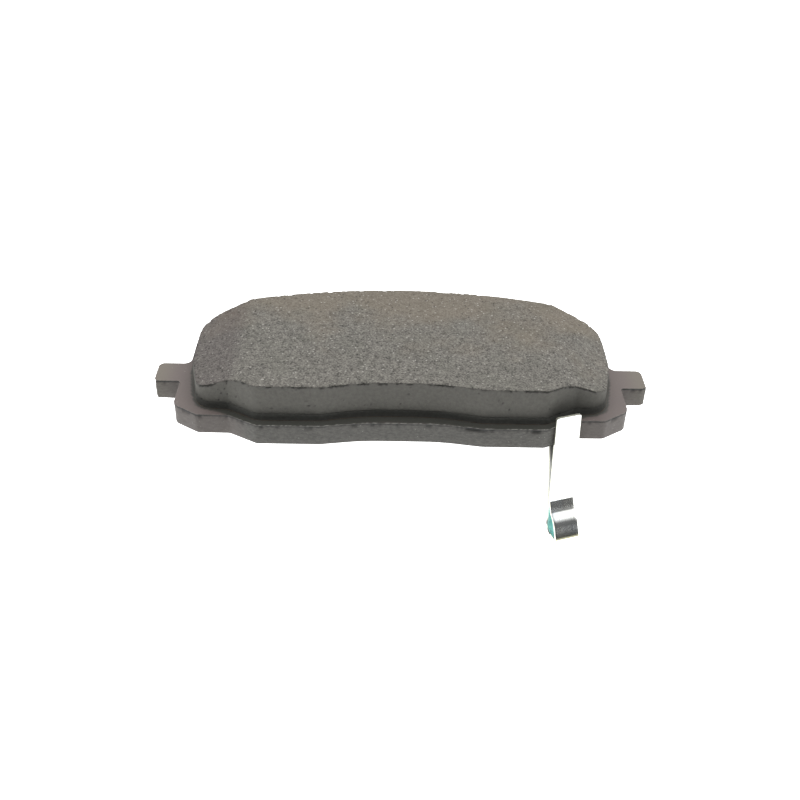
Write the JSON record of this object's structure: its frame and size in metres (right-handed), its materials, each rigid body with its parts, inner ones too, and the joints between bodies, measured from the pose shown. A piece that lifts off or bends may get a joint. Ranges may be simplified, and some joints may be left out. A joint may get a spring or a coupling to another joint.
{
  "type": "disc brake pad",
  "caption": "Disc brake pad: an eared steel backing plate with a chamfered friction block, a bonded noise shim and a sprung wear indicator.",
  "frame": {"origin": "centre of the back contact face, which is the outer face of the noise shim, on the plane that halves the backing plate", "axes": "+X along the pad from ear to ear, +Y towards the disc's rim, +Z from the piston side towards the disc"},
  "size_m": [0.144, 0.066, 0.0465],
  "materials": {
    "plate_paint": "satin taupe-grey stoving paint",
    "adhesive": "cured phenolic adhesive film",
    "underlayer": "dark pressed mineral compound",
    "friction": "ground granular friction compound",
    "zinc_strip": "bright blue-passivated zinc",
    "rivet_steel": "zinc plated",
    "shim_adhesive": "pressure-sensitive adhesive film",
    "shim_rubber": "thin nitrile coat",
    "shim_steel": "cold-rolled sheet"
  },
  "bodies": {
    "root": {"backing_plate": "plate_paint", "bonding_adhesive": "adhesive", "underlayer": "underlayer", "friction_block": "friction", "wear_indicator": "zinc_strip", "wear_indicator_rivet": "rivet_steel", "shim_adhesive": "shim_adhesive", "shim_inner_rubber": "shim_rubber", "shim_steel": "shim_steel", "shim_outer_rubber": "shim_rubber"}
  },
  "joints": []
}
